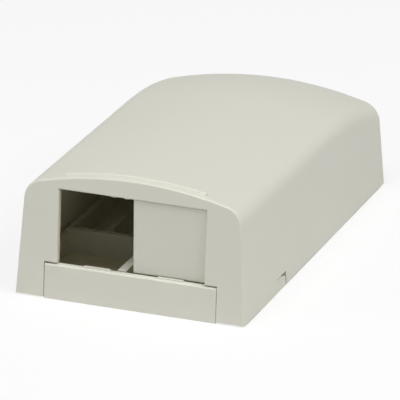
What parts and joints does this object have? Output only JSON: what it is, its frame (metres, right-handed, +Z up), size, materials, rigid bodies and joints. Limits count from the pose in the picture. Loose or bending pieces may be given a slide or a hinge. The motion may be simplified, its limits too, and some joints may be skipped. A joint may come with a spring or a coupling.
{
  "type": "surface mount jack box",
  "caption": "Low rounded box that mounts on a wall or skirting and holds snap-in jack modules at one end, with a lift-off cover and a blank in a port.",
  "frame": {"origin": "centre of the footprint, on the plane that the base rests on", "axes": "+Z up, away from the mounting surface; the ports face -Y and the closed rear faces +Y; +X is to the right as the ports are seen from in front"},
  "size_m": [0.0464, 0.0818, 0.026],
  "materials": {
    "cover": "off-white moulded plastic with a fine texture",
    "base": "off-white moulded plastic with a fine texture",
    "blank": "off-white moulded plastic, smooth",
    "tape_foam": "closed-cell foam tape",
    "liner": "smooth release film"
  },
  "bodies": {
    "root": {"base": "base", "tape_pad_left": "tape_foam", "tape_pad_right": "tape_foam", "tape_liner_left": "liner", "tape_liner_right": "liner"},
    "cover": {"cover": "cover"},
    "blank": {"blank_insert": "blank"}
  },
  "joints": [
    {"name": "cover_lift", "type": "slide", "parent": "root", "child": "cover", "axis": [0, 0, 1], "range_m": [0, 0.035]},
    {"name": "blank_pull", "type": "slide", "parent": "root", "child": "blank", "axis": [0, -1, 0], "range_m": [0, 0.02]}
  ]
}
